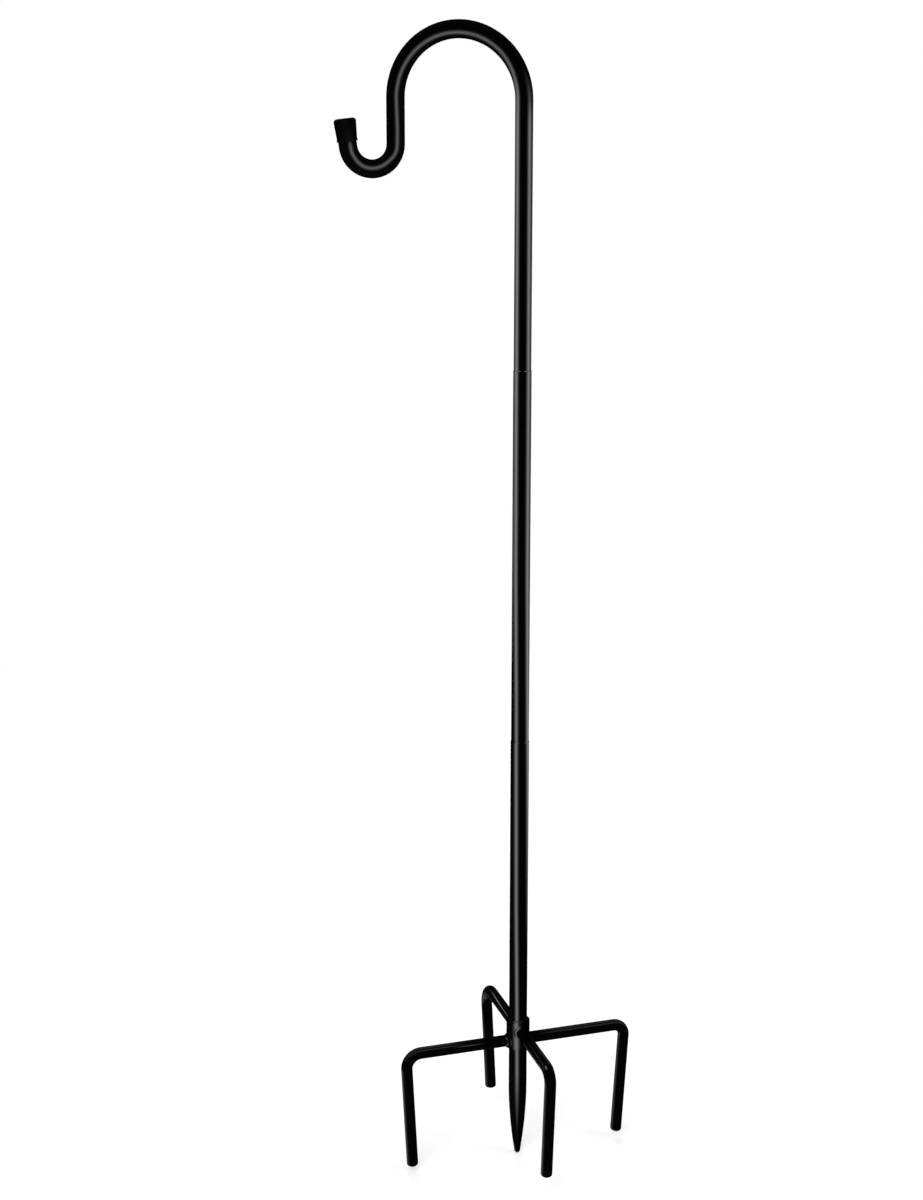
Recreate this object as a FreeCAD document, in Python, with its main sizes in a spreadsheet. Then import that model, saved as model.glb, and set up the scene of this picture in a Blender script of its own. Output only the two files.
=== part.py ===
"""Shepherd's hook: a crook on a three-section tubular pole, on a ground stake with four prongs.

The origin is on the pole's axis at the soil line, which is the collar's underside. +Z is up, the crook
reaches towards -X, the lower prong rod lies along X and the upper one along Y. Sizes are in millimetres,
and angles in degrees.
"""
import FreeCAD, Part
import os
import Sketcher

SIZES = [
    # whole object and pole
    ("overall_height", 1143.0),
    ("spike_depth", 121.0),
    ("stake_tube_diameter", 18.6),
    ("middle_tube_diameter", 17.8),
    ("crook_tube_diameter", 17.0),
    ("tube_wall", 1.2),
    ("lower_seam_height", 330.0),
    ("upper_seam_height", 700.0),
    ("seam_chamfer", 0.4),
    # swaged point of the ground stake
    ("point_length", 70.0),
    ("point_curve_radius", 540.0),
    ("nose_radius", 3.2),
    ("bore_end_length", 16.0),
    # crook
    ("arch_radius", 62.0),
    ("arm_length", 41.0),
    ("hook_radius", 22.5),
    ("hook_sweep_angle", 173.0),
    ("tail_length", 23.0),
    # soft cap on the hook's end
    ("cap_length", 20.5),
    ("cap_crown", 2.0),
    ("cap_end_wall", 1.7),
    ("cap_mouth_wall", 0.65),
    ("cap_lip_height", 1.6),
    ("cap_lip_width", 0.35),
    ("cap_edge_radius", 3.0),
    ("cap_clearance", 0.1),
    # prong rods
    ("rod_diameter", 11.8),
    ("rod_gap", 0.3),
    ("lower_rod_height", 7.4),
    ("prong_tip_radius", 2.6),
    # each prong: how far out its corner is, how deep its tip goes, how it leans in, and its bend
    ("left_prong_span", 120.2),
    ("left_prong_depth", 116.0),
    ("left_toe_angle", 2.9),
    ("left_bend_radius", 15.0),
    ("right_prong_span", 118.4),
    ("right_prong_depth", 113.8),
    ("right_toe_angle", 3.5),
    ("right_bend_radius", 11.5),
    ("front_prong_span", 99.8),
    ("front_prong_depth", 96.4),
    ("front_toe_angle", 4.8),
    ("front_bend_radius", 13.0),
    ("back_prong_span", 108.2),
    ("back_prong_depth", 93.2),
    ("back_toe_angle", 9.1),
    ("back_bend_radius", 18.5),
    # collar and welds
    ("collar_height", 30.0),
    ("collar_wall", 2.6),
    ("collar_clearance", 0.1),
    ("collar_chamfer", 0.6),
    ("hole_clearance", 0.1),
    ("collar_weld_leg", 2.0),
    ("prong_weld_leg", 2.2),
    # screwed joints between the sections
    ("bush_length", 20.0),
    ("bush_clearance", 0.05),
    ("bush_chamfer", 0.6),
    ("thread_diameter", 10.0),
    ("thread_clearance", 0.08),
    ("stud_length", 34.0),
    ("stud_chamfer", 1.0),
]

# how nearly two radii must agree for an edge to be the one that is looked for
SAME = 1e-4
# how much of a prong weld's leg its sloping face takes
WELD_SLOPE_SHARE = 0.8

doc = FreeCAD.newDocument("shepherds_hook")
sheet = doc.addObject("Spreadsheet::Sheet", "Sizes")
for row, (alias, number) in enumerate(SIZES, start=1):
    sheet.set(f"A{row}", alias)
    sheet.set(f"B{row}", str(number))
    sheet.setAlias(f"B{row}", alias)
doc.recompute()

# radii and places that several pieces share, as expressions on the sheet
STAKE_R = "(Sizes.stake_tube_diameter / 2)"
MIDDLE_R = "(Sizes.middle_tube_diameter / 2)"
CROOK_R = "(Sizes.crook_tube_diameter / 2)"
STAKE_BORE_R = f"({STAKE_R} - Sizes.tube_wall)"
MIDDLE_BORE_R = f"({MIDDLE_R} - Sizes.tube_wall)"
CROOK_BORE_R = f"({CROOK_R} - Sizes.tube_wall)"
ROD_R = "(Sizes.rod_diameter / 2)"
HOLE_R = f"({ROD_R} + Sizes.hole_clearance)"
COLLAR_BORE_R = f"({STAKE_R} + Sizes.collar_clearance)"
COLLAR_R = f"({COLLAR_BORE_R} + Sizes.collar_wall)"
LOWER_ROD_HEIGHT = "Sizes.lower_rod_height"
UPPER_ROD_HEIGHT = "(Sizes.lower_rod_height + Sizes.rod_diameter + Sizes.rod_gap)"
LOWER_SEAM = "Sizes.lower_seam_height"
UPPER_SEAM = "Sizes.upper_seam_height"
ARCH_HEIGHT = f"(Sizes.overall_height - Sizes.spike_depth - {CROOK_R} - Sizes.arch_radius)"
HOOK_HEIGHT = f"({ARCH_HEIGHT} - Sizes.arm_length)"
ARM_X = "(-2 * Sizes.arch_radius)"
TAIL_LEAN = "((180 - Sizes.hook_sweep_angle) * 1deg)"
HOOK_END_X = f"({ARM_X} - Sizes.hook_radius * (1 + cos({TAIL_LEAN})))"
HOOK_END_Z = f"({HOOK_HEIGHT} - Sizes.hook_radius * sin({TAIL_LEAN}))"
TAIL_END_X = f"({HOOK_END_X} - Sizes.tail_length * sin({TAIL_LEAN}))"
TAIL_END_Z = f"({HOOK_END_Z} + Sizes.tail_length * cos({TAIL_LEAN}))"
THREAD_R = "(Sizes.thread_diameter / 2)"


def value(expression):
    """The number that an expression on the sheet gives."""
    result = sheet.evalExpression(expression)
    return float(getattr(result, "Value", result))


def new_body(label):
    body = doc.addObject("PartDesign::Body", label)
    body.Label = label
    return body


def new_sketch(body, name, role):
    """A sketch on one of the body's own origin planes."""
    sketch = body.newObject("Sketcher::SketchObject", name)
    plane = next(item for item in body.Origin.OriginFeatures if item.Role == role)
    sketch.AttachmentSupport = [(plane, "")]
    sketch.MapMode = "FlatFace"
    return sketch


def hold_point(sketch, geometry, end, place):
    """Ties one point to the sketch's origin by two expressions; "0" puts it on the axis."""
    for kind, axis, expression in (("DistanceX", -2, place[0]), ("DistanceY", -1, place[1])):
        if expression == "0":
            sketch.addConstraint(Sketcher.Constraint("PointOnObject", geometry, end, axis))
        else:
            number = value(expression)
            index = sketch.addConstraint(Sketcher.Constraint(kind, -1, 1, geometry, end, number))
            sketch.setExpression(f"Constraints[{index}]", expression)


def hold_radius(sketch, geometry, expression):
    index = sketch.addConstraint(Sketcher.Constraint("Radius", geometry, value(expression)))
    sketch.setExpression(f"Constraints[{index}]", expression)


def add_circle(sketch, centre, radius):
    x, y = (value(expression) for expression in centre)
    circle = Part.Circle(FreeCAD.Vector(x, y, 0), FreeCAD.Vector(0, 0, 1), value(radius))
    geometry = sketch.addGeometry(circle, False)
    hold_point(sketch, geometry, 3, centre)
    hold_radius(sketch, geometry, radius)


def arc_middle(start, end, radius, side):
    """The middle of the short arc between two points that bulges left (1) or right (-1) of its chord."""
    chord = end - start
    half = chord.Length / 2
    rise = radius - max(radius ** 2 - half ** 2, 0) ** 0.5
    normal = FreeCAD.Vector(-chord.y, chord.x, 0).normalize()
    return (start + end) * 0.5 + normal * (side * rise)


def add_outline(sketch, start, steps):
    """Draws lines and arcs from point to point, closed where the last step ends at the start.

    A step is (end) for a line, or (end, radius, side of the bulge) for an arc.
    """
    places = [start] + [step[0] for step in steps]
    points = [FreeCAD.Vector(value(x), value(y), 0) for x, y in places]
    for index, step in enumerate(steps):
        begin, end = points[index], points[index + 1]
        if len(step) == 1:
            geometry = sketch.addGeometry(Part.LineSegment(begin, end), False)
            head, tail = 1, 2
        else:
            radius, side = step[1:]
            arc = Part.Arc(begin, arc_middle(begin, end, value(radius), side), end)
            geometry = sketch.addGeometry(arc, False)
            # a sketch counts an arc's ends anticlockwise
            head, tail = (2, 1) if side > 0 else (1, 2)
            hold_radius(sketch, geometry, radius)
        if index == 0:
            first = (geometry, head)
            hold_point(sketch, geometry, head, start)
        else:
            sketch.addConstraint(Sketcher.Constraint("Coincident", *previous, geometry, head))
        if step[0] == start:
            sketch.addConstraint(Sketcher.Constraint("Coincident", geometry, tail, *first))
        else:
            hold_point(sketch, geometry, tail, step[0])
        previous = (geometry, tail)


def revolve(body, profile):
    """A full turn about the sketch's vertical axis."""
    turn = body.newObject("PartDesign::Revolution", body.Name + "_turn")
    turn.Profile = profile
    turn.ReferenceAxis = (profile, ["V_Axis"])
    turn.Angle = 360
    doc.recompute()


def cross_drill(body, name, role, height):
    """A hole for a prong rod, right through along the normal of the plane."""
    sketch = new_sketch(body, name + "_circle", role)
    add_circle(sketch, ("0", height), HOLE_R)
    before = body.Shape.Volume
    hole = body.newObject("PartDesign::Pocket", name)
    hole.Profile = sketch
    hole.Type = "ThroughAll"
    hole.SideType = "Symmetric"
    doc.recompute()
    if body.Shape.Volume >= before:
        raise RuntimeError(name + " cut nothing")


def drill_for_rods(body):
    cross_drill(body, body.Name + "_lower_hole", "YZ_Plane", LOWER_ROD_HEIGHT)
    cross_drill(body, body.Name + "_upper_hole", "XZ_Plane", UPPER_ROD_HEIGHT)


def full_circles(shape, radius, wanted):
    """Names of the shape's whole circles of one radius whose centre the test accepts."""
    names = []
    for number, edge in enumerate(shape.Edges, start=1):
        curve = edge.Curve
        if curve.TypeId == "Part::GeomCircle" and edge.isClosed() and abs(curve.Radius - radius) < SAME:
            if wanted(curve.Center):
                names.append(f"Edge{number}")
    return names


def build_stake_tube():
    """The lower tube, swaged to a closed point and drilled for the two prong rods."""
    body = new_body("ground_stake_tube")
    profile = new_sketch(body, "stake_profile", "XZ_Plane")
    tip = "(-Sizes.spike_depth)"
    shoulder = "(Sizes.point_length - Sizes.spike_depth)"
    add_outline(profile, ("0", tip), [
        (("Sizes.nose_radius", f"{tip} + Sizes.nose_radius"), "Sizes.nose_radius", -1),
        ((STAKE_R, shoulder), "Sizes.point_curve_radius", -1),
        ((STAKE_R, f"{LOWER_SEAM} - Sizes.seam_chamfer"),),
        ((f"{STAKE_R} - Sizes.seam_chamfer", LOWER_SEAM),),
        ((STAKE_BORE_R, LOWER_SEAM),),
        ((STAKE_BORE_R, shoulder),),
        (("0", f"{shoulder} - Sizes.bore_end_length"),),
        (("0", tip),),
    ])
    revolve(body, profile)
    drill_for_rods(body)
    return body


def build_collar():
    """The reinforcing sleeve over the cross-drilled stretch of the stake."""
    body = new_body("prong_collar")
    profile = new_sketch(body, "collar_profile", "XZ_Plane")
    flat_r = f"{COLLAR_R} - Sizes.collar_chamfer"
    add_outline(profile, (COLLAR_BORE_R, "0"), [
        ((flat_r, "0"),),
        ((COLLAR_R, "Sizes.collar_chamfer"),),
        ((COLLAR_R, "Sizes.collar_height - Sizes.collar_chamfer"),),
        ((flat_r, "Sizes.collar_height"),),
        ((COLLAR_BORE_R, "Sizes.collar_height"),),
        ((COLLAR_BORE_R, "0"),),
    ])
    revolve(body, profile)
    drill_for_rods(body)
    return body


def build_collar_weld():
    """The fillet weld that closes the collar's top onto the tube, with a slightly crowned face."""
    body = new_body("collar_top_weld")
    profile = new_sketch(body, "collar_weld_profile", "XZ_Plane")
    add_outline(profile, (STAKE_R, "Sizes.collar_height"), [
        ((f"{STAKE_R} + Sizes.collar_weld_leg", "Sizes.collar_height"),),
        ((STAKE_R, "Sizes.collar_height + Sizes.collar_weld_leg"), "2 * Sizes.collar_weld_leg", -1),
        ((STAKE_R, "Sizes.collar_height"),),
    ])
    revolve(body, profile)
    return body


def rod_path(body, prong, role, side, height):
    """Half a rod's centreline: out along the arm, round the bend, and down the toed-in prong."""
    span = f"Sizes.{prong}_prong_span"
    depth = f"Sizes.{prong}_prong_depth"
    bend_radius = f"Sizes.{prong}_bend_radius"
    lean = f"(Sizes.{prong}_toe_angle * 1deg)"
    tangent = f"({bend_radius} * tan((90deg + {lean}) / 2))"
    path = new_sketch(body, prong + "_prong_path", role)
    add_outline(path, ("0", height), [
        ((f"{side} * ({span} - {tangent})", height),),
        ((f"{side} * ({span} - {tangent} * sin({lean}))", f"{height} - {tangent} * cos({lean})"),
         bend_radius, side),
        ((f"{side} * ({span} - ({height} + {depth}) * tan({lean}))", f"-{depth}"),),
    ])
    return path


def build_rod(label, path_role, section_role, height, prongs):
    """A staple bent from one round bar: an arm through the pole with a prong at each end."""
    body = new_body(label)
    section = new_sketch(body, label + "_section", section_role)
    add_circle(section, ("0", height), ROD_R)
    for side, prong in zip((-1, 1), prongs):
        path = rod_path(body, prong, path_role, side, height)
        pipe = body.newObject("PartDesign::AdditivePipe", prong + "_prong_half")
        pipe.Profile = section
        pipe.Spine = (path, ["Edge1", "Edge2", "Edge3"])
        doc.recompute()
    rims = full_circles(pipe.Shape, value(ROD_R), lambda centre: centre.z < -value("Sizes.rod_diameter"))
    tips = body.newObject("PartDesign::Fillet", label + "_tips")
    tips.Base = (pipe, rims)
    tips.setExpression("Radius", "Sizes.prong_tip_radius")
    doc.recompute()
    return body


def cylinder(name, radius, height, base_z, direction=None):
    """A cylinder that starts on the pole's axis and runs along a direction, or upright about that axis."""
    item = doc.addObject("Part::Cylinder", name)
    item.setExpression("Radius", radius)
    item.setExpression("Height", height)
    if direction is not None:
        item.Placement.Rotation = FreeCAD.Rotation(FreeCAD.Vector(0, 0, 1), direction)
    item.setExpression("Placement.Base.z", base_z)
    return item


def boolean(kind, name, base, tool):
    item = doc.addObject(kind, name)
    item.Base = base
    item.Tool = tool
    return item


def outer_rim(shape, away, height):
    """Numbers of the edges that lie on both outer faces of a weld ring."""
    bead_r = value(f"{ROD_R} + Sizes.prong_weld_leg")
    reach = value(f"{COLLAR_R} + Sizes.prong_weld_leg")
    centre = FreeCAD.Vector(0, 0, value(height))
    numbers = []
    for number, edge in enumerate(shape.Edges, start=1):
        middle = (edge.FirstParameter + edge.LastParameter) / 2
        spots = [edge.valueAt(at) - centre for at in (edge.FirstParameter, middle)]
        on_round = all(abs(spot.cross(away).Length - bead_r) < SAME for spot in spots)
        on_skin = all(abs(FreeCAD.Vector(spot.x, spot.y, 0).Length - reach) < SAME for spot in spots)
        if on_round and on_skin:
            numbers.append(number)
    return numbers


def build_prong_welds():
    """The four fillet welds round the rods where they leave the collar, as one group."""
    bead_r = f"({ROD_R} + Sizes.prong_weld_leg)"
    reach = f"({COLLAR_R} + Sizes.prong_weld_leg)"
    far = f"({UPPER_ROD_HEIGHT} + 2 * {bead_r})"
    skin = cylinder("weld_skin", reach, f"2 * {far}", f"-{far}")
    core = cylinder("weld_core", COLLAR_R, f"2 * {far}", f"-{far}")
    beads = []
    for name, away, height in (
        ("left", FreeCAD.Vector(-1, 0, 0), LOWER_ROD_HEIGHT),
        ("right", FreeCAD.Vector(1, 0, 0), LOWER_ROD_HEIGHT),
        ("front", FreeCAD.Vector(0, -1, 0), UPPER_ROD_HEIGHT),
        ("back", FreeCAD.Vector(0, 1, 0), UPPER_ROD_HEIGHT),
    ):
        outer = cylinder(name + "_weld_round", bead_r, reach, height, away)
        rod = cylinder(name + "_weld_rod", ROD_R, f"2 * {reach}", height, away)
        saddle = boolean("Part::Common", name + "_weld_saddle", outer, skin)
        seated = boolean("Part::Cut", name + "_weld_seat", saddle, core)
        ring = boolean("Part::Cut", name + "_weld_ring", seated, rod)
        doc.recompute()
        bead = doc.addObject("Part::Chamfer", name + "_weld_bead")
        bead.Base = ring
        slope = value("Sizes.prong_weld_leg") * WELD_SLOPE_SHARE
        bead.Edges = [(number, slope, slope) for number in outer_rim(ring.Shape, away, height)]
        beads.append(bead)
    group = doc.addObject("Part::Compound", "prong_weld_beads")
    group.Links = beads
    return group


def build_bush(label, bore_r, bottom):
    """A tapped steel bush brazed into a tube's end. Its hole is plain, at the thread's outer size."""
    body = new_body(label)
    profile = new_sketch(body, label + "_profile", "XZ_Plane")
    outer_r = f"({bore_r} - Sizes.bush_clearance)"
    hole_r = f"({THREAD_R} + Sizes.thread_clearance)"
    mouth_r = f"{hole_r} + Sizes.bush_chamfer"
    add_outline(profile, (mouth_r, "0"), [
        ((outer_r, "0"),),
        ((outer_r, "Sizes.bush_length"),),
        ((mouth_r, "Sizes.bush_length"),),
        ((hole_r, "Sizes.bush_length - Sizes.bush_chamfer"),),
        ((hole_r, "Sizes.bush_chamfer"),),
        ((mouth_r, "0"),),
    ])
    revolve(body, profile)
    body.setExpression("Placement.Base.z", bottom)
    return body


def build_stud(label, seam):
    """The headless stud that draws two sections together, half in each bush."""
    body = new_body(label)
    profile = new_sketch(body, label + "_profile", "XZ_Plane")
    end_r = f"{THREAD_R} - Sizes.stud_chamfer"
    half = "(Sizes.stud_length / 2)"
    add_outline(profile, ("0", f"-{half}"), [
        ((end_r, f"-{half}"),),
        ((THREAD_R, f"Sizes.stud_chamfer - {half}"),),
        ((THREAD_R, f"{half} - Sizes.stud_chamfer"),),
        ((end_r, half),),
        (("0", half),),
        (("0", f"-{half}"),),
    ])
    revolve(body, profile)
    body.setExpression("Placement.Base.z", seam)
    return body


def build_middle_tube():
    """The straight middle section, with its upper edge sloped off to the crook's smaller tube."""
    body = new_body("middle_pole_tube")
    profile = new_sketch(body, "middle_profile", "XZ_Plane")
    add_outline(profile, (MIDDLE_BORE_R, LOWER_SEAM), [
        ((MIDDLE_R, LOWER_SEAM),),
        ((MIDDLE_R, f"{UPPER_SEAM} - Sizes.seam_chamfer"),),
        ((f"{MIDDLE_R} - Sizes.seam_chamfer", UPPER_SEAM),),
        ((MIDDLE_BORE_R, UPPER_SEAM),),
        ((MIDDLE_BORE_R, LOWER_SEAM),),
    ])
    revolve(body, profile)
    return body


def build_crook_tube():
    """The top tube: up the pole, over the arch, down the arm and round the small hook."""
    body = new_body("crook_tube")
    section = new_sketch(body, "crook_section", "XY_Plane")
    add_circle(section, ("0", "0"), CROOK_R)
    add_circle(section, ("0", "0"), CROOK_BORE_R)
    path = new_sketch(body, "crook_path", "XZ_Plane")

    def above_seam(height):
        return f"{height} - {UPPER_SEAM}"

    add_outline(path, ("0", "0"), [
        (("0", above_seam(ARCH_HEIGHT)),),
        (("-Sizes.arch_radius", above_seam(f"{ARCH_HEIGHT} + Sizes.arch_radius")), "Sizes.arch_radius", -1),
        ((ARM_X, above_seam(ARCH_HEIGHT)), "Sizes.arch_radius", -1),
        ((ARM_X, above_seam(HOOK_HEIGHT)),),
        ((f"{ARM_X} - Sizes.hook_radius", above_seam(f"{HOOK_HEIGHT} - Sizes.hook_radius")),
         "Sizes.hook_radius", 1),
        ((HOOK_END_X, above_seam(HOOK_END_Z)), "Sizes.hook_radius", 1),
        ((TAIL_END_X, above_seam(TAIL_END_Z)),),
    ])
    pipe = body.newObject("PartDesign::AdditivePipe", "crook_pipe")
    pipe.Profile = section
    pipe.Spine = (path, [f"Edge{number}" for number in range(1, path.GeometryCount + 1)])
    body.setExpression("Placement.Base.z", UPPER_SEAM)
    return body


def build_cap():
    """The soft cap pressed over the hook's end, a little wider at its crown, with a lip at its mouth."""
    body = new_body("hook_tip_cap")
    profile = new_sketch(body, "cap_profile", "XZ_Plane")
    inner_r = f"({CROOK_R} + Sizes.cap_clearance)"
    end_r = f"({inner_r} + Sizes.cap_end_wall)"
    mouth_r = f"({inner_r} + Sizes.cap_mouth_wall)"
    lip_r = f"({mouth_r} + Sizes.cap_lip_width)"
    mouth = "(Sizes.cap_crown - Sizes.cap_length)"
    add_outline(profile, ("0", "Sizes.cap_crown"), [
        ((f"{end_r} - Sizes.cap_edge_radius", "Sizes.cap_crown"),),
        ((end_r, "Sizes.cap_crown - Sizes.cap_edge_radius"), "Sizes.cap_edge_radius", 1),
        ((mouth_r, f"{mouth} + Sizes.cap_lip_height + Sizes.cap_lip_width"),),
        ((lip_r, f"{mouth} + Sizes.cap_lip_height"),),
        ((lip_r, mouth),),
        ((inner_r, mouth),),
        ((inner_r, "0"),),
        (("0", "0"),),
        (("0", "Sizes.cap_crown"),),
    ])
    revolve(body, profile)
    tilt = FreeCAD.Rotation(FreeCAD.Vector(0, 1, 0), -value(TAIL_LEAN))
    body.Placement = FreeCAD.Placement(FreeCAD.Vector(0, 0, 0), tilt)
    body.setExpression("Placement.Base.x", TAIL_END_X)
    body.setExpression("Placement.Base.z", TAIL_END_Z)
    return body


def check_made(pieces):
    """Nothing is written unless every object was made whole."""
    for item in doc.Objects:
        if "Invalid" in item.State or "Error" in item.State:
            raise RuntimeError(f"{item.Label} failed: {item.State}")
    for piece in pieces:
        if piece.Shape.isNull() or not piece.Shape.isValid() or not piece.Shape.Solids:
            raise RuntimeError(f"{piece.Label} has no sound solid")


pieces = [
    build_stake_tube(),
    build_collar(),
    build_collar_weld(),
    build_rod("lower_prong_rod", "XZ_Plane", "YZ_Plane", LOWER_ROD_HEIGHT, ("left", "right")),
    build_rod("upper_prong_rod", "YZ_Plane", "XZ_Plane", UPPER_ROD_HEIGHT, ("front", "back")),
    build_prong_welds(),
    build_bush("stake_top_bush", STAKE_BORE_R, f"{LOWER_SEAM} - Sizes.bush_length"),
    build_stud("lower_joint_stud", LOWER_SEAM),
    build_bush("middle_bottom_bush", MIDDLE_BORE_R, LOWER_SEAM),
    build_middle_tube(),
    build_bush("middle_top_bush", MIDDLE_BORE_R, f"{UPPER_SEAM} - Sizes.bush_length"),
    build_stud("upper_joint_stud", UPPER_SEAM),
    build_bush("crook_bottom_bush", CROOK_BORE_R, UPPER_SEAM),
    build_crook_tube(),
    build_cap(),
]
doc.recompute()
check_made(pieces)
os.makedirs("parts", exist_ok=True)
for piece in pieces:
    piece.Shape.exportStep(os.path.join("parts", piece.Label + ".step"))
    print(piece.Label, len(piece.Shape.Solids), "solid", round(piece.Shape.Volume, 1), "mm3")
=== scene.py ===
"""The looks of the shepherd's hook: gloss black enamel, a matte rubber cap, rippled welds and cut threads.

Everything is in metres in the frame of the CAD model: the origin is on the pole's axis at the soil line,
+Z is up the pole, and the crook reaches towards -X.
"""
import math

import bmesh
import bpy
from mathutils import Matrix, Vector


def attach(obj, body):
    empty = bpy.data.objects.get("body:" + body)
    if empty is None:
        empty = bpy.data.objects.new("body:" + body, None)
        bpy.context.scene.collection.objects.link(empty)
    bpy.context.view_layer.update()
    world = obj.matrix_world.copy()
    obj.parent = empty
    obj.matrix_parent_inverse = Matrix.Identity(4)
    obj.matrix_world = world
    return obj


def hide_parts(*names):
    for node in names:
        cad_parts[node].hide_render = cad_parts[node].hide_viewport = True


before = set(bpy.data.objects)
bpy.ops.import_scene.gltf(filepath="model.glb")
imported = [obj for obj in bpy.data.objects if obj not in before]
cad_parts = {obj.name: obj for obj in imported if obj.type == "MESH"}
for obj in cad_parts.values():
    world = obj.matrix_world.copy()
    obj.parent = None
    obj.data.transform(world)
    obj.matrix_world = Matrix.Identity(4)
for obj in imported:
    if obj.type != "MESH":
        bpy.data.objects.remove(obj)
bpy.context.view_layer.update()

MM = 0.001
UP = Vector((0, 0, 1))
WHITE = (1, 1, 1, 1)

# the pole's three tubes, the seams between them and the floor under the spike
STAKE_R = 9.3 * MM
MIDDLE_R = 8.9 * MM
CROOK_R = 8.5 * MM
SEAM_HEIGHT = {"lower": 330 * MM, "upper": 700 * MM}
FLOOR_HEIGHT = -121 * MM

# the crook: the arch, the straight arm below it and the small hook
CROOK_TOP = 1022 * MM
ARCH_R = 62 * MM
ARCH_START = CROOK_TOP - ARCH_R - CROOK_R
ARM_LENGTH = 41 * MM
HOOK_R = 22.5 * MM
HOOK_ANGLE = math.radians(173)
HOOK_CENTRE = Vector((-2 * ARCH_R - HOOK_R, 0, ARCH_START - ARM_LENGTH))

# where the arm and the hook end, by the distance travelled from the soil line up the pole and along the crook
ARM_END = ARCH_START + math.pi * ARCH_R + ARM_LENGTH
HOOK_END = ARM_END + HOOK_ANGLE * HOOK_R

# the headless studs and their M10 thread; a tooth's corners are given by their share of the pitch and radius
STUD_HALF_LENGTH = 17 * MM
STUD_CHAMFER = 1 * MM
THREAD_PITCH = 1.5 * MM
THREAD_CREST_R = 5 * MM
THREAD_ROOT_R = 4.08 * MM
THREAD_TOOTH = ((0, THREAD_ROOT_R), (0.125, THREAD_ROOT_R), (0.5, THREAD_CREST_R), (0.625, THREAD_CREST_R),
                (1, THREAD_ROOT_R))
THREAD_STEPS = 36
THREAD_SPARE_TURNS = 3

# the collar and the rods; each rod's end leaves the collar in a direction and at a height
COLLAR_R = 12 * MM
COLLAR_TOP = 30 * MM
ROD_R = 5.9 * MM
PRONG_WELDS = {
    "left": (Vector((-1, 0, 0)), 7.4 * MM),
    "right": (Vector((1, 0, 0)), 7.4 * MM),
    "front": (Vector((0, -1, 0)), 19.5 * MM),
    "back": (Vector((0, 1, 0)), 19.5 * MM),
}

# the weld beads: their legs and ripples, how deep their root lies in the steel, the swell of their face, and
# the share of the leg along both edges that stays plain
COLLAR_BEAD_LEG = 1.9 * MM
COLLAR_BEAD_RIPPLES = 38
PRONG_BEAD_LEG = 1.7 * MM
PRONG_BEAD_RIPPLES = 24
BEAD_ROOT = 0.15 * MM
BEAD_SWELL_SHARE = 0.112
BEAD_EDGE_SHARE = 0.02
BEAD_FACE_POINTS = 7
RIPPLE_STEPS = 8
RIPPLE_LAG = 1.1
RIPPLE_DEPTH_SHARE = 0.10

# vertices this close are one, and a cut leaves vertices this close to its plane on it
MERGE_DISTANCE = 1e-6
CUT_DISTANCE = 1e-7

# the camera that the photograph was taken with
CAMERA_PLACE = Vector((-0.5487, -1.5872, 0.8628))
CAMERA_HEADING = math.radians(-17.09)
CAMERA_PITCH = math.radians(-11.41)
CAMERA_LENS = 52.5
CAMERA_SENSOR = 36.0
CAMERA_SHIFT = (-0.00033, -0.04142)


# shader helpers

def node(tree, kind, sockets=None, **settings):
    """A shader node with its settings, and each named or numbered socket linked or given a value."""
    made = tree.nodes.new(kind)
    for name, setting in settings.items():
        setattr(made, name, setting)
    for name, given in (sockets or {}).items():
        if isinstance(given, bpy.types.NodeSocket):
            tree.links.new(given, made.inputs[name])
        else:
            made.inputs[name].default_value = given
    return made


def math_node(tree, operation, first, second):
    return node(tree, "ShaderNodeMath", {0: first, 1: second}, operation=operation).outputs["Value"]


def emission(tree, strength):
    return node(tree, "ShaderNodeEmission", {"Color": WHITE, "Strength": strength}).outputs["Emission"]


def mix_shaders(tree, share, first, second):
    return node(tree, "ShaderNodeMixShader", {"Fac": share, 1: first, 2: second}).outputs["Shader"]


def object_place(tree):
    return tree.nodes.new("ShaderNodeTexCoord").outputs["Object"]


def empty_material(name):
    material = bpy.data.materials.new(name)
    material.use_nodes = True
    material.node_tree.nodes.clear()
    return material, material.node_tree


def new_group(name, inputs, outputs):
    """An empty shader group with its named sockets, and its entry and result sockets."""
    group = bpy.data.node_groups.new(name, "ShaderNodeTree")
    for socket_name, socket_type in inputs.items():
        group.interface.new_socket(socket_name, in_out="INPUT", socket_type=socket_type)
    for socket_name in outputs:
        group.interface.new_socket(socket_name, in_out="OUTPUT", socket_type="NodeSocketFloat")
    return group, group.nodes.new("NodeGroupInput").outputs, group.nodes.new("NodeGroupOutput").inputs


def use_group(tree, group, sockets):
    return node(tree, "ShaderNodeGroup", sockets, node_tree=group).outputs


# effects that several finishes share

def build_fine_grain():
    """Small rounded unevenness, as orange peel in paint or the grain of moulded rubber."""
    group, given, result = new_group(
        "fine_grain", {"Place": "NodeSocketVector", "Cells per metre": "NodeSocketFloat"}, ["Height"])
    noise = node(group, "ShaderNodeTexNoise", {
        "Vector": given["Place"], "Scale": given["Cells per metre"], "Detail": 1.5, "Roughness": 0.4})
    group.links.new(noise.outputs["Fac"], result["Height"])
    return group


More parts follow.
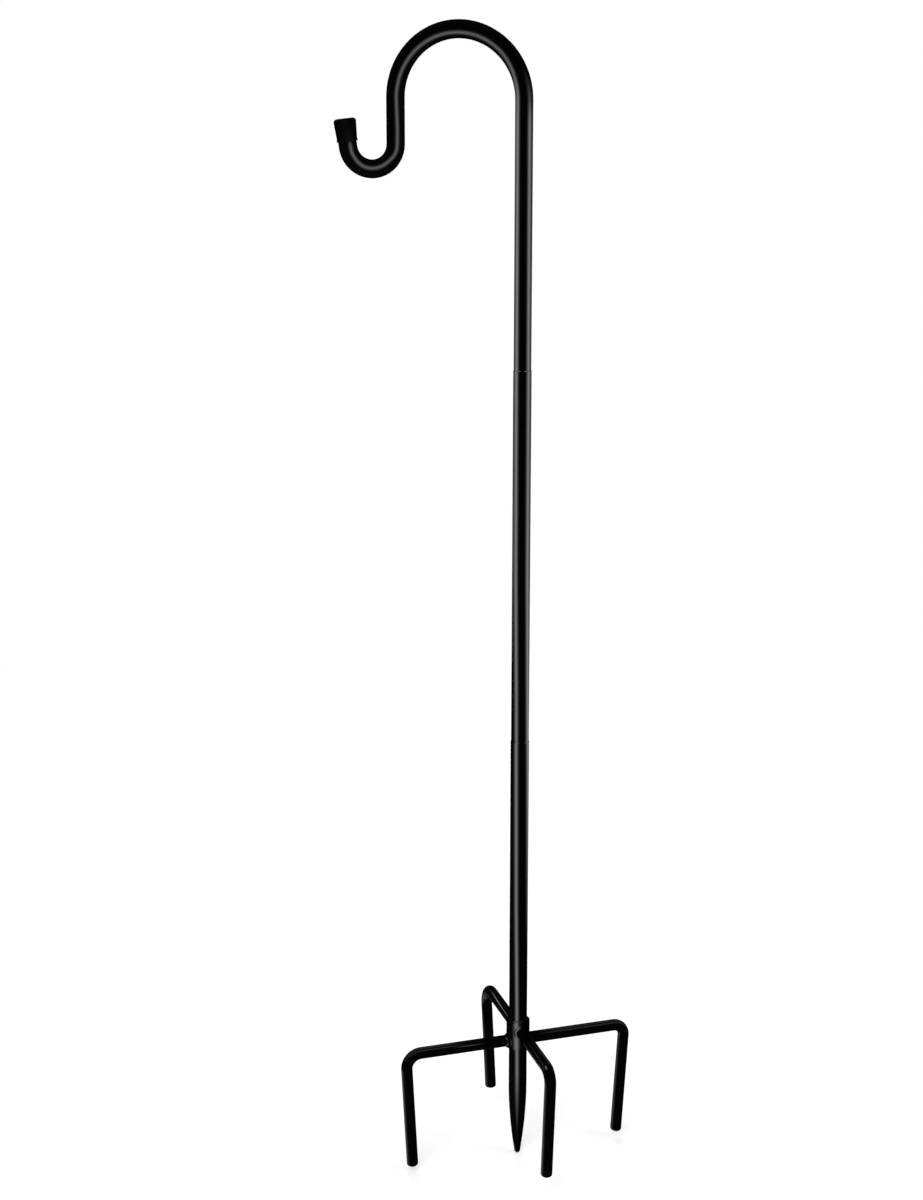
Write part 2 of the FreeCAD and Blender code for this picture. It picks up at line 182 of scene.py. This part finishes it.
def build_handling_marks():
    """Broad soft patches where a surface was handled or wiped, between two values."""
    group, given, result = new_group(
        "handling_marks",
        {"Place": "NodeSocketVector", "Patches per metre": "NodeSocketFloat", "Clean": "NodeSocketFloat",
         "Marked": "NodeSocketFloat"},
        ["Value", "Mask"])
    stretched = node(group, "ShaderNodeMapping", {"Vector": given["Place"], "Scale": (1.0, 1.0, 0.35)})
    noise = node(group, "ShaderNodeTexNoise", {
        "Vector": stretched.outputs["Vector"], "Scale": given["Patches per metre"], "Detail": 4.0,
        "Roughness": 0.6})
    mask = node(group, "ShaderNodeMapRange",
                {"Value": noise.outputs["Fac"], "From Min": 0.35, "From Max": 0.7},
                interpolation_type="SMOOTHSTEP").outputs["Result"]
    level = node(group, "ShaderNodeMapRange",
                 {"Value": mask, "To Min": given["Clean"], "To Max": given["Marked"]})
    group.links.new(level.outputs["Result"], result["Value"])
    group.links.new(mask, result["Mask"])
    return group


FINE_GRAIN = build_fine_grain()
HANDLING_MARKS = build_handling_marks()


def grain(tree, place, cells):
    return use_group(tree, FINE_GRAIN, {"Place": place, "Cells per metre": cells})["Height"]


def handling_marks(tree, place, patches, clean, marked):
    """The roughness between clean and marked patches, and the mask of the marked ones."""
    return use_group(tree, HANDLING_MARKS,
                     {"Place": place, "Patches per metre": patches, "Clean": clean, "Marked": marked})


def two_tones(tree, marks, clean, marked):
    """One colour on the clean patches and another on the marked ones."""
    return node(tree, "ShaderNodeMix", {"Factor": marks["Mask"], "A": (*clean, 1), "B": (*marked, 1)},
                data_type="RGBA").outputs["Result"]


def relief(tree, height, strength, distance):
    """The surface's normal, tilted by a fine height."""
    return node(tree, "ShaderNodeBump",
                {"Strength": strength, "Distance": distance, "Height": height}).outputs["Normal"]


def finish(tree, sockets):
    shader = node(tree, "ShaderNodeBsdfPrincipled", sockets)
    node(tree, "ShaderNodeOutputMaterial", {"Surface": shader.outputs["BSDF"]})


# finishes

def gloss_black_enamel():
    """Hard gloss enamel on steel, with a fine orange peel."""
    material, tree = empty_material("gloss_black_enamel")
    place = object_place(tree)
    marks = handling_marks(tree, place, patches=26.0, clean=0.09, marked=0.14)
    finish(tree, {
        "Base Color": two_tones(tree, marks, (0.0008, 0.0008, 0.0009), (0.0014, 0.0014, 0.0015)),
        "Roughness": marks["Value"],
        "IOR": 1.5,
        "Normal": relief(tree, grain(tree, place, 420.0), strength=0.05, distance=0.0002),
    })
    return material


def enamel_over_weld():
    """The same enamel where it lies thinner and duller over a weld."""
    material, tree = empty_material("enamel_over_weld")
    place = object_place(tree)
    marks = handling_marks(tree, place, patches=400.0, clean=0.24, marked=0.38)
    finish(tree, {
        "Base Color": two_tones(tree, marks, (0.0009, 0.0009, 0.001), (0.0018, 0.0017, 0.0016)),
        "Roughness": marks["Value"],
        "IOR": 1.5,
        "Normal": relief(tree, grain(tree, place, 1500.0), strength=0.15, distance=0.0002),
    })
    return material


def moulded_black_rubber():
    """Soft matte rubber, dull all over, with the mould's fine grain."""
    material, tree = empty_material("moulded_black_rubber")
    place = object_place(tree)
    marks = handling_marks(tree, place, patches=150.0, clean=0.62, marked=0.8)
    finish(tree, {
        "Base Color": two_tones(tree, marks, (0.0012, 0.0012, 0.0012), (0.0024, 0.0023, 0.0022)),
        "Roughness": marks["Value"],
        "Specular IOR Level": 0.25,
        "Normal": relief(tree, grain(tree, place, 2600.0), strength=0.35, distance=0.00012),
    })
    return material


def zinc_plated_thread():
    """Bright zinc plate on a cut thread, dulled and slightly yellow in places."""
    material, tree = empty_material("zinc_plated_thread")
    place = object_place(tree)
    marks = handling_marks(tree, place, patches=260.0, clean=0.24, marked=0.42)
    drawn = node(tree, "ShaderNodeMapping", {"Vector": place, "Scale": (1.0, 1.0, 12.0)}).outputs["Vector"]
    finish(tree, {
        "Base Color": two_tones(tree, marks, (0.66, 0.67, 0.68), (0.52, 0.50, 0.43)),
        "Metallic": 1.0,
        "Roughness": marks["Value"],
        "Normal": relief(tree, grain(tree, drawn, 1400.0), strength=0.25, distance=0.00008),
    })
    return material


def turned_bush_steel():
    """Steel faced on a lathe: fine rings about the pole's axis, under a film of oil."""
    material, tree = empty_material("turned_bush_steel")
    place = object_place(tree)
    marks = handling_marks(tree, place, patches=200.0, clean=0.3, marked=0.5)
    rings = node(tree, "ShaderNodeTexWave",
                 {"Vector": place, "Scale": 950.0, "Distortion": 0.6, "Detail": 1.0},
                 wave_type="RINGS", rings_direction="Z").outputs["Fac"]
    finish(tree, {
        "Base Color": two_tones(tree, marks, (0.44, 0.43, 0.42), (0.27, 0.25, 0.22)),
        "Metallic": 1.0,
        "Roughness": marks["Value"],
        "Normal": relief(tree, rings, strength=0.3, distance=0.00006),
    })
    return material


ENAMEL = gloss_black_enamel()
WELD_ENAMEL = enamel_over_weld()
RUBBER = moulded_black_rubber()
ZINC = zinc_plated_thread()
BUSH_STEEL = turned_bush_steel()

FINISH_OF_NODE = {
    "hook_tip_cap": RUBBER,
    "lower_joint_stud": ZINC,
    "upper_joint_stud": ZINC,
    "stake_top_bush": BUSH_STEEL,
    "middle_bottom_bush": BUSH_STEEL,
    "middle_top_bush": BUSH_STEEL,
    "crook_bottom_bush": BUSH_STEEL,
}
for name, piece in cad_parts.items():
    if not piece.material_slots:
        piece.data.materials.append(None)
    for slot in piece.material_slots:
        slot.material = FINISH_OF_NODE.get(name, ENAMEL)


# mesh helpers

def add_object(name, data):
    made = bpy.data.objects.new(name, data)
    bpy.context.scene.collection.objects.link(made)
    return made


def mesh_data(name, mesh):
    """The bmesh as mesh data. The bmesh itself is freed."""
    data = bpy.data.meshes.new(name)
    mesh.to_mesh(data)
    mesh.free()
    return data


def add_piece(name, mesh, material, smooth_below):
    """An object from a finished bmesh, smooth but for the edges sharper than an angle in degrees."""
    bmesh.ops.recalc_face_normals(mesh, faces=mesh.faces)
    if mesh.calc_volume(signed=True) < 0:
        bmesh.ops.reverse_faces(mesh, faces=mesh.faces)
    for face in mesh.faces:
        face.smooth = True
    for edge in mesh.edges:
        if len(edge.link_faces) == 2 and edge.calc_face_angle() > math.radians(smooth_below):
            edge.smooth = False
    data = mesh_data(name, mesh)
    data.materials.append(material)
    return add_object(name, data)


def chain(mesh, places):
    """A line of vertices joined by edges, the profile for a spin."""
    verts = [mesh.verts.new(place) for place in places]
    return [mesh.edges.new(pair) for pair in zip(verts, verts[1:])]


def cut_across(mesh, place, normal, clear):
    """Cuts the mesh at a plane; what lies beyond it along the normal is taken off where clear is set."""
    bmesh.ops.bisect_plane(mesh, geom=mesh.verts[:] + mesh.edges[:] + mesh.faces[:], dist=CUT_DISTANCE,
                           plane_co=place, plane_no=normal, clear_outer=clear)


# pieces that stand for plain solids

def cut_thread(joint):
    """A headless stud with a cut thread: flat crests and roots, flanks at about 30 degrees, chamfered ends."""
    seam = SEAM_HEIGHT[joint]
    mesh = bmesh.new()
    turns = round(2 * STUD_HALF_LENGTH / THREAD_PITCH) + THREAD_SPARE_TURNS
    start = seam - turns / 2 * THREAD_PITCH
    tooth = chain(mesh, [(radius, 0, start + share * THREAD_PITCH) for share, radius in THREAD_TOOTH])
    bmesh.ops.spin(mesh, geom=mesh.verts[:] + tooth, cent=(0, 0, 0), axis=UP, angle=math.tau * turns,
                   dvec=(0, 0, THREAD_PITCH / THREAD_STEPS), steps=THREAD_STEPS * turns,
                   use_merge=False, use_duplicate=False)
    bmesh.ops.remove_doubles(mesh, verts=mesh.verts, dist=MERGE_DISTANCE)
    for side in (-1, 1):
        cut_across(mesh, (0, 0, seam + side * (STUD_HALF_LENGTH - STUD_CHAMFER)), (0, 0, side), False)
        cut_across(mesh, (0, 0, seam + side * STUD_HALF_LENGTH), (0, 0, side), True)
    bmesh.ops.holes_fill(mesh, edges=[edge for edge in mesh.edges if edge.is_boundary], sides=0)
    for vert in mesh.verts:
        chamfer_r = THREAD_CREST_R - STUD_CHAMFER + STUD_HALF_LENGTH - abs(vert.co.z - seam)
        radius = math.hypot(vert.co.x, vert.co.y)
        if radius > chamfer_r:
            vert.co.x *= chamfer_r / radius
            vert.co.y *= chamfer_r / radius
    piece = add_piece(f"{joint}_stud_thread", mesh, ZINC, smooth_below=25)
    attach(piece, f"{joint}_stud")
    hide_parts(f"{joint}_joint_stud")


def lay_bead(name, inner, leg, ripples, seat):
    """A fillet weld laid in small overlapping ripples round a tube or rod.

    The bead is spun about Z in the corner between a wall of radius inner and the plane below it. The seat
    then takes each vertex to its place, and is given its turn about the axis, its radius and its height.
    """
    outline = [(inner + leg, -BEAD_ROOT)]
    for step in range(BEAD_FACE_POINTS):
        share = step / (BEAD_FACE_POINTS - 1)
        swell = BEAD_SWELL_SHARE * leg * math.sin(math.pi * share)
        outline.append((inner + leg * (1 - share) + swell, leg * share + swell))
    outline += [(inner - BEAD_ROOT, leg), (inner - BEAD_ROOT, -BEAD_ROOT)]

    mesh = bmesh.new()
    edges = chain(mesh, [(radius, 0, height) for radius, height in outline])
    corners = mesh.verts[:]
    edges.append(mesh.edges.new((corners[-1], corners[0])))
    bmesh.ops.spin(mesh, geom=corners + edges, cent=(0, 0, 0), axis=UP, angle=math.tau,
                   steps=ripples * RIPPLE_STEPS, use_merge=True, use_duplicate=False)
    for vert in mesh.verts:
        radius = math.hypot(vert.co.x, vert.co.y)
        turn = math.atan2(vert.co.y, vert.co.x)
        outward = (radius - inner) / leg
        if outward > BEAD_EDGE_SHARE and vert.co.z > BEAD_EDGE_SHARE * leg:
            # each ripple lags at the toes, so that its front is a crescent
            lag = RIPPLE_LAG * (2 * outward - 1) ** 2
            phase = (turn * ripples + lag) / math.tau % 1.0
            sink = RIPPLE_DEPTH_SHARE * leg * phase ** 2 * math.sin(math.pi * outward)
            radius -= sink
            vert.co.z -= sink
        vert.co = seat(turn, radius, vert.co.z)
    return add_piece(name, mesh, WELD_ENAMEL, smooth_below=50)


def weld_collar_top():
    """The bead that closes the collar onto the tube."""
    def on_collar(turn, radius, height):
        return Vector((radius * math.cos(turn), radius * math.sin(turn), COLLAR_TOP + height))

    bead = lay_bead("collar_top_bead", STAKE_R, COLLAR_BEAD_LEG, COLLAR_BEAD_RIPPLES, on_collar)
    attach(bead, "stake")
    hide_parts("collar_top_weld")


def weld_prong(side):
    """The bead round a rod where it leaves the collar, seated on the collar's round skin."""
    away, height = PRONG_WELDS[side]
    across = UP.cross(away)

    def on_skin(turn, radius, lift):
        sideways = radius * math.cos(turn)
        reach = math.sqrt(COLLAR_R ** 2 - sideways ** 2) + lift
        return away * reach + across * sideways + UP * (height + radius * math.sin(turn))

    bead = lay_bead(f"{side}_prong_bead", ROD_R, PRONG_BEAD_LEG, PRONG_BEAD_RIPPLES, on_skin)
    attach(bead, "stake")
    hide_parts("prong_weld_beads")


for joint in SEAM_HEIGHT:
    cut_thread(joint)
weld_collar_top()
for side in PRONG_WELDS:
    weld_prong(side)


# camera

def place_camera():
    data = bpy.data.cameras.new("photo_camera")
    data.lens = CAMERA_LENS
    data.sensor_width = CAMERA_SENSOR
    data.shift_x, data.shift_y = CAMERA_SHIFT
    data.clip_start = 0.05
    data.clip_end = 100.0
    camera = add_object("photo_camera", data)
    level = math.cos(CAMERA_PITCH)
    aim = Vector((-math.sin(CAMERA_HEADING) * level, math.cos(CAMERA_HEADING) * level,
                  math.sin(CAMERA_PITCH)))
    camera.location = CAMERA_PLACE
    camera.rotation_euler = aim.to_track_quat("-Z", "Y").to_euler()
    bpy.context.scene.camera = camera


place_camera()


# world, lamps and floor

WORLD_LIGHT = 0.55
LAMP_TARGET = Vector((0, 0, 0.4))
FLOOR_R = 30.0
FLOOR_PAINT = (0.82, 0.82, 0.82, 1)
FLOOR_LIFT = 0.30
# how far out the lit floor starts and ends turning into plain white
FLOOR_WHITE_FROM = 0.6
FLOOR_WHITE_AT = 2.2


def background_rays(tree):
    """1 for the rays that see the background: straight from the camera, mirrored or refracted on the way."""
    path = tree.nodes.new("ShaderNodeLightPath").outputs
    seen = math_node(tree, "MAXIMUM", path["Is Camera Ray"], path["Is Glossy Ray"])
    return math_node(tree, "MAXIMUM", seen, path["Is Transmission Ray"])


def plain_background(tree, strength):
    return node(tree, "ShaderNodeBackground", {"Color": WHITE, "Strength": strength}).outputs["Background"]


def light_world():
    """White where it is seen, and an even plain light on the object."""
    world = bpy.data.worlds.new("studio")
    world.use_nodes = True
    tree = world.node_tree
    tree.nodes.clear()
    light = plain_background(tree, WORLD_LIGHT)
    seen = plain_background(tree, 1.0)
    node(tree, "ShaderNodeOutputWorld", {"Surface": mix_shaders(tree, background_rays(tree), light, seen)})
    bpy.context.scene.world = world


def soft_lamp(name, place, size, power):
    data = bpy.data.lights.new(name, "AREA")
    data.shape = "RECTANGLE"
    data.size, data.size_y = size
    data.energy = power
    lamp = add_object(name, data)
    lamp.location = place
    lamp.rotation_euler = (LAMP_TARGET - Vector(place)).to_track_quat("-Z", "Y").to_euler()
    lamp.visible_glossy = False
    lamp.visible_camera = False


def pale_floor():
    """Pale paint, lit round the object so that it keeps the shadow, and plain white further out."""
    material, tree = empty_material("pale_floor")
    paint = node(tree, "ShaderNodeBsdfDiffuse", {"Color": FLOOR_PAINT}).outputs["BSDF"]
    lit = node(tree, "ShaderNodeAddShader", {0: paint, 1: emission(tree, FLOOR_LIFT)}).outputs["Shader"]
    place = object_place(tree)
    distance = node(tree, "ShaderNodeVectorMath", {0: place}, operation="LENGTH").outputs["Value"]
    far = node(tree, "ShaderNodeMapRange",
               {"Value": distance, "From Min": FLOOR_WHITE_FROM, "From Max": FLOOR_WHITE_AT},
               interpolation_type="SMOOTHSTEP").outputs["Result"]
    seen = mix_shaders(tree, far, lit, emission(tree, 1.0))
    node(tree, "ShaderNodeOutputMaterial", {"Surface": mix_shaders(tree, background_rays(tree), paint, seen)})
    return material


def lay_floor():
    mesh = bmesh.new()
    bmesh.ops.create_circle(mesh, cap_ends=True, segments=96, radius=FLOOR_R,
                            matrix=Matrix.Translation((0, 0, FLOOR_HEIGHT)))
    data = mesh_data("studio_floor", mesh)
    data.materials.append(pale_floor())
    floor = add_object("studio_floor", data)
    floor.visible_glossy = False


# what the enamel mirrors

# A light sleeve follows the tube, a hood stands over and round the prongs, and a dark tent goes round both.
# Two strips run up the sleeve, and the left one goes on over the arch and round the hook. A ramp gives a
# value at a few distances travelled up the pole and along the crook. A place is where a strip shows from the
# camera, in shares of the tube's radius to the right of travel, and a level is how bright it shows. A rim is
# the light between a strip and the tube's edge. One more strip is for views from behind.

def arch_at(degrees):
    """The distance travelled at an angle round the arch."""
    return ARCH_START + math.radians(degrees) * ARCH_R


def hook_at(degrees):
    """The distance travelled at an angle round the hook."""
    return ARM_END + math.radians(degrees) * HOOK_R


# the sleeve's size, how far it goes on past the hook, and its strips' ramps
SLEEVE_R = 15 * MM
SLEEVE_TAIL = 0.055
LEFT_PLACE = (
    (-0.118, -0.04), (-0.03, -0.08), (0.06, -0.16), (0.15, -0.28), (0.36, -0.42), (0.50, -0.58),
    (0.72, -0.66), (0.94, -0.71), (arch_at(15), -0.69), (arch_at(45), -0.48), (arch_at(90), -0.37),
    (arch_at(150), -0.16), (arch_at(180), -0.09), (ARM_END - 0.012, -0.19), (hook_at(20), -0.15),
    (hook_at(45), 0.05), (hook_at(110), 0.07), (hook_at(140), 0.21), (HOOK_END, 0.26))
LEFT_LEVEL = (
    (-0.118, 0.003), (-0.096, 0.007), (-0.061, 0.066), (-0.028, 0.16), (0.94, 0.162), (arch_at(15), 0.11),
    (arch_at(30), 0.10), (HOOK_END + 0.001, 0.10), (HOOK_END + 0.005, 0.0))
RIGHT_PLACE = ((0.06, 1.25), (0.15, 1.08), (0.36, 0.85), (0.50, 0.70), (0.94, 0.61), (arch_at(15), 0.55))
RIGHT_LEVEL = (
    (0.02, 0.0), (0.15, 0.15), (0.93, 0.156), (ARCH_START, 0.056), (arch_at(15), 0.012), (arch_at(25), 0.0))
LEFT_RIM = ((0.40, 0.001), (0.54, 0.06), (0.93, 0.09), (ARCH_START, 0.04), (arch_at(25), 0.001))
RIGHT_RIM = (
    (0.03, 0.001), (0.15, 0.01), (0.36, 0.05), (0.50, 0.08), (0.72, 0.06), (0.93, 0.028),
    (arch_at(15), 0.001))
STRIP_SPREAD = 0.112
RIM_SPREAD = 0.16
RIGHT_RIM_START = 0.8
FACING_ROUNDS = 12

# the strip seen from behind, which leaves out the collar because the welds would mirror it
BACK_LEVEL = 0.11
BACK_TURN = math.radians(171)
BACK_SPREAD = math.radians(8)
BACK_GAP_MIDDLE = 16 * MM
BACK_GAP_REACH = 20 * MM
BACK_GAP_FADE = 8 * MM

# the hood, which goes close round the sleeve
HOOD_HOLE_R = SLEEVE_R + 0.5 * MM
HOOD_R = 0.5
HOOD_LOW = -0.45
HOOD_TOP = 0.062
HOOD_DARK = 0.008

# overhead it has two strips for the side arms, dark near the pole, a spot for the front arm's bend and a
# line for the back arm
HOOD_STRIPS = (-0.024, 0.030)
HOOD_STRIP_GLOW = 0.9
HOOD_GAP = 0.035
HOOD_GAP_FADE = 0.012
HOOD_SPOT = Vector((-0.028, -0.085, HOOD_TOP))
HOOD_SPOT_GLOW = 6.0
HOOD_BACK_LINE = (Vector((-0.035, 0.142, HOOD_TOP)), Vector((-0.09, 0.168, HOOD_TOP)))
HOOD_BACK_GLOW = 3.0
HOOD_SPREAD = 0.006

# and low on its wall a broad strip for the legs' left edges
HOOD_SIDE_TURN = math.radians(145)
HOOD_SIDE_SPREAD = math.radians(20)
HOOD_SIDE_GLOW = 0.65
HOOD_SIDE_TOP = -0.16
HOOD_SIDE_FADE = 0.04

# the tent, whose glow rises a little with each metre of height
TENT_HOLE_R = 1 * MM
TENT_R = 1.2
TENT_LOW = -0.5
TENT_TOP = 1.9
TENT_DARK = 0.02
TENT_RISE = 0.03

# how much the enamel mirrors straight on; the rest comes as the surface turns away
STRAIGHT_MIRROR = 0.04


def pole_radius(height):
    if height < SEAM_HEIGHT["lower"]:
        return STAKE_R
    if height < SEAM_HEIGHT["upper"]:
        return MIDDLE_R
    return CROOK_R


def on_hook(angle):
    """The tube's middle and direction at an angle round the hook."""
    middle = HOOK_CENTRE + Vector((math.cos(angle), 0, -math.sin(angle))) * HOOK_R
    return middle, Vector((-math.sin(angle), 0, -math.cos(angle)))


def tube_at(place):
    """The nearest station of the tube: the distance travelled, its middle, its direction and its radius."""
    if place.z >= ARCH_START:
        angle = math.atan2(place.z - ARCH_START, place.x + ARCH_R)
        middle = Vector((ARCH_R * (math.cos(angle) - 1), 0, ARCH_START + ARCH_R * math.sin(angle)))
        along = Vector((-math.sin(angle), 0, math.cos(angle)))
        return ARCH_START + angle * ARCH_R, middle, along, CROOK_R
    if place.x > -ARCH_R:
        return place.z, Vector((0, 0, place.z)), UP, pole_radius(place.z)
    if place.x > HOOK_CENTRE.x and place.z >= HOOK_CENTRE.z:
        middle = Vector((-2 * ARCH_R, 0, place.z))
        return ARM_END - (place.z - HOOK_CENTRE.z), middle, -UP, CROOK_R
    angle = math.atan2(HOOK_CENTRE.z - place.z, place.x - HOOK_CENTRE.x)
    if 0 <= angle <= HOOK_ANGLE:
        middle, along = on_hook(angle)
        return ARM_END + angle * HOOK_R, middle, along, CROOK_R
    corner, along = on_hook(HOOK_ANGLE)
    beyond = (place - corner).dot(along)
    return HOOK_END + beyond, corner + along * beyond, along, CROOK_R


def on_ramp(ramp, travel):
    """The ramp's value at a distance travelled, and its first or last one beyond its ends."""
    travel = min(max(travel, ramp[0][0]), ramp[-1][0])
    for low, high in zip(ramp, ramp[1:]):
        if travel <= high[0]:
            return low[1] + (high[1] - low[1]) * (travel - low[0]) / (high[0] - low[0])


def bell(offset, spread):
    """1 at no offset, falling off smoothly to nearly 0 at three spreads."""
    return math.exp(-0.5 * (offset / spread) ** 2)


def mirrored_share(cosine):
    """How much of the light the enamel mirrors, by the cosine of the angle between its face and the view."""
    return STRAIGHT_MIRROR + (1 - STRAIGHT_MIRROR) * (1 - cosine) ** 5


def facing_at(turn, radius):
    """The turn on the tube's skin that mirrors the sleeve at a given turn to the camera.

    Both turns are about the tube's middle and start on the camera's side. Each round closes in on the answer.
    """
    facing = turn / 2
    for _ in range(FACING_ROUNDS):
        facing = (turn + math.asin(radius / SLEEVE_R * math.sin(facing))) / 2
    return facing


def seen_level(travel, across):
    """How bright the tube shows at a share of its radius to the right of travel."""
    left = on_ramp(LEFT_PLACE, travel)
    right = on_ramp(RIGHT_PLACE, travel)
    rim_start = min(right, RIGHT_RIM_START)
    level = on_ramp(LEFT_LEVEL, travel) * bell(across - left, STRIP_SPREAD)
    level += on_ramp(RIGHT_LEVEL, travel) * bell(across - right, STRIP_SPREAD)
    if across < left:
        return max(level, on_ramp(LEFT_RIM, travel) * (1 - bell(across - left, RIM_SPREAD)))
    if across > rim_start:
        return max(level, on_ramp(RIGHT_RIM, travel) * (1 - bell(across - rim_start, RIM_SPREAD)))
    return level


def sleeve_glow(place):
    """The light at a place of the sleeve, so that the tube mirrors it to the camera as the ramps say."""
    travel, middle, along, radius = tube_at(place)
    view = (CAMERA_PLACE - middle).normalized()
    front = (view - along * view.dot(along)).normalized()
    right = along.cross(view).normalized()
    spoke = place - middle
    turn = math.atan2(spoke.dot(right), spoke.dot(front))
    facing = facing_at(turn, radius)
    seen = seen_level(travel, math.sin(facing)) / mirrored_share(math.cos(facing) * view.dot(front))
    off_collar = 1 - bell(max(abs(travel - BACK_GAP_MIDDLE) - BACK_GAP_REACH, 0), BACK_GAP_FADE)
    behind = math.remainder(turn - BACK_TURN, math.tau)
    return seen + BACK_LEVEL * off_collar * bell(behind, BACK_SPREAD) / STRAIGHT_MIRROR


def from_line(place, start, end):
    """How far a place is from the straight line between two others."""
    share = (place - start).dot(end - start) / (end - start).length_squared
    return (place - start.lerp(end, min(max(share, 0), 1))).length


def hood_glow(place):
    """The light at a place of the hood: strips, spot and line overhead, and a broad strip on its wall."""
    if place.z > HOOD_TOP - 1 * MM:
        clear = 1 - bell(max(abs(place.x) - HOOD_GAP, 0), HOOD_GAP_FADE)
        strips = clear * sum(bell(place.y - strip, HOOD_SPREAD) for strip in HOOD_STRIPS)
        spot = bell((place - HOOD_SPOT).length, HOOD_SPREAD)
        back = bell(from_line(place, *HOOD_BACK_LINE), HOOD_SPREAD)
        return HOOD_DARK + HOOD_STRIP_GLOW * strips + HOOD_SPOT_GLOW * spot + HOOD_BACK_GLOW * back
    turn = math.remainder(math.atan2(place.y, place.x) - HOOD_SIDE_TURN, math.tau)
    low = 1 - bell(min(place.z - HOOD_SIDE_TOP, 0), HOOD_SIDE_FADE)
    return HOOD_DARK + HOOD_SIDE_GLOW * low * bell(turn, HOOD_SIDE_SPREAD)


def tent_glow(place):
    """Nearly dark, a little lighter overhead."""
    return TENT_DARK + TENT_RISE * max(place.z, 0)


def glow_finish(name):
    """Gives off the glow stored on the mesh, on the inner side only; the outer side is black."""
    material, tree = empty_material(name)
    stored = node(tree, "ShaderNodeAttribute", attribute_name="glow").outputs["Fac"]
    outer = tree.nodes.new("ShaderNodeNewGeometry").outputs["Backfacing"]
    strength = math_node(tree, "MULTIPLY", stored, math_node(tree, "SUBTRACT", 1.0, outer))
    node(tree, "ShaderNodeOutputMaterial", {"Surface": emission(tree, strength)})
    material.cycles.emission_sampling = "NONE"
    return material


def hang_in_studio(name, mesh, glow_at):
    """A studio piece that only mirror rays see, with its glow stored on each vertex."""
    data = mesh_data(name, mesh)
    glow = data.attributes.new("glow", "FLOAT", "POINT")
    for vert in data.vertices:
        glow.data[vert.index].value = glow_at(vert.co)
    data.materials.append(glow_finish(name))
    piece = add_object(name, data)
    piece.visible_camera = False
    piece.visible_diffuse = False
    piece.visible_transmission = False
    piece.visible_shadow = False


def turn_faces(mesh, middle_at):
    """Turns every face towards the middle that goes with it."""
    mesh.normal_update()
    for face in mesh.faces:
        spot = face.calc_center_median()
        if face.normal.dot(middle_at(spot) - spot) < 0:
            face.normal_flip()


def hang_tube_sleeve():
    """A round sleeve swept along the tube, from the floor to past the cap."""
    mesh = bmesh.new()
    bmesh.ops.create_circle(mesh, cap_ends=False, segments=180, radius=SLEEVE_R,
                            matrix=Matrix.Translation((0, 0, FLOOR_HEIGHT)))

    def spin(ring, **settings):
        return bmesh.ops.spin(mesh, geom=ring, use_merge=False, use_duplicate=False, **settings)["geom_last"]

    def sweep(ring, length, direction, steps):
        return spin(ring, cent=(0, 0, 0), axis=UP, angle=0, dvec=direction * (length / steps), steps=steps)

    def inside(spot):
        """The tube's middle, 1 mm back along it, so that the sleeve's closed end faces inwards too."""
        middle, along = tube_at(spot)[1:3]
        return middle - along * (1 * MM)

    end_direction = on_hook(HOOK_ANGLE)[1]
    ring = mesh.verts[:] + mesh.edges[:]
    ring = sweep(ring, ARCH_START - FLOOR_HEIGHT, UP, steps=150)
    ring = spin(ring, cent=(-ARCH_R, 0, ARCH_START), axis=(0, -1, 0), angle=math.pi, steps=60)
    ring = sweep(ring, ARM_LENGTH, -UP, steps=12)
    ring = spin(ring, cent=HOOK_CENTRE, axis=(0, 1, 0), angle=HOOK_ANGLE, steps=44)
    ring = sweep(ring, SLEEVE_TAIL, end_direction, steps=22)
    last_edges = [item for item in ring if isinstance(item, bmesh.types.BMEdge)]
    bmesh.ops.holes_fill(mesh, edges=last_edges, sides=0)
    turn_faces(mesh, inside)
    hang_in_studio("tube_light_sleeve", mesh, sleeve_glow)


def hang_drum(name, hole, radius, low, high, rings, glow_at):
    """A drum about the pole with a hole in each end, made of fine rings and lit on its inner side."""
    mesh = bmesh.new()
    across = [hole + (radius - hole) * step / rings for step in range(rings + 1)]
    rise = [low + (high - low) * step / rings for step in range(1, rings)]
    profile = [(x, 0, low) for x in across] + [(radius, 0, z) for z in rise]
    profile += [(x, 0, high) for x in reversed(across)]
    line = chain(mesh, profile)
    bmesh.ops.spin(mesh, geom=mesh.verts[:] + line, cent=(0, 0, 0), axis=UP, angle=math.tau, steps=160,
                   use_merge=True, use_duplicate=False)
    turn_faces(mesh, lambda spot: Vector((0, 0, (low + high) / 2)))
    hang_in_studio(name, mesh, glow_at)


light_world()
hang_tube_sleeve()
hang_drum("prong_hood", HOOD_HOLE_R, HOOD_R, HOOD_LOW, HOOD_TOP, rings=150, glow_at=hood_glow)
hang_drum("dark_tent", TENT_HOLE_R, TENT_R, TENT_LOW, TENT_TOP, rings=8, glow_at=tent_glow)
soft_lamp("key_lamp", place=(-1.6, -1.9, 2.4), size=(1.6, 1.6), power=42.0)
soft_lamp("fill_lamp", place=(2.2, -1.2, 1.6), size=(1.8, 1.8), power=22.0)
soft_lamp("back_lamp", place=(0.4, 2.4, 2.2), size=(1.8, 1.2), power=20.0)
lay_floor()
bpy.context.scene.view_settings.view_transform = "Standard"
